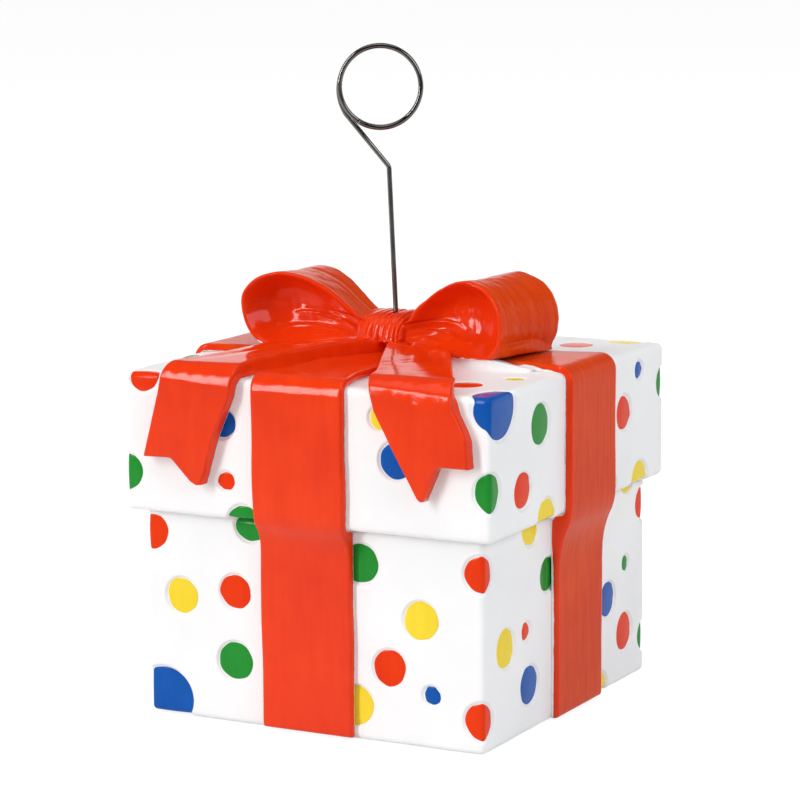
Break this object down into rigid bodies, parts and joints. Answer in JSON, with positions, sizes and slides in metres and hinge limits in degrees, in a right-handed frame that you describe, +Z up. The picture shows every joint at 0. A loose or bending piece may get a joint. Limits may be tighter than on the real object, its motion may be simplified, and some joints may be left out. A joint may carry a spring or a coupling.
{
  "type": "balloon weight",
  "caption": "Gift-box balloon weight: dotted cast box with overhanging lid, ribbon bands, sculpted bow with tails, and a turning steel wire ring that holds balloon strings or a photo.",
  "frame": {"origin": "centre of the underside, on the pad that the weight stands on", "axes": "+Z up along the box, -Y towards the front of the box and bow, +X to the right"},
  "size_m": [0.084, 0.0853, 0.1321],
  "materials": {
    "white_paint": "satin white hand paint on cast resin, with red, yellow, blue and green gloss dots",
    "red_paint": "glossy red hand paint on cast resin",
    "steel_wire": "dark nickel-plated spring wire",
    "base_felt": "black felt pad"
  },
  "bodies": {
    "casting": {"box_body": "white_paint", "box_lid": "white_paint", "ribbon_front": "red_paint", "ribbon_back": "red_paint", "ribbon_right": "red_paint", "ribbon_left": "red_paint", "bow_loop_left": "red_paint", "bow_loop_right": "red_paint", "bow_knot": "red_paint", "tail_left": "red_paint", "tail_right": "red_paint", "base_pad": "base_felt"},
    "wire": {"wire_clip": "steel_wire"}
  },
  "joints": [
    {"name": "wire_swivel", "type": "hinge", "parent": "casting", "child": "wire", "pos_m": [-0.0007, -0.001, 0.0787], "axis": [-0.0285, -0.0152, 0.9995], "continuous": true}
  ]
}
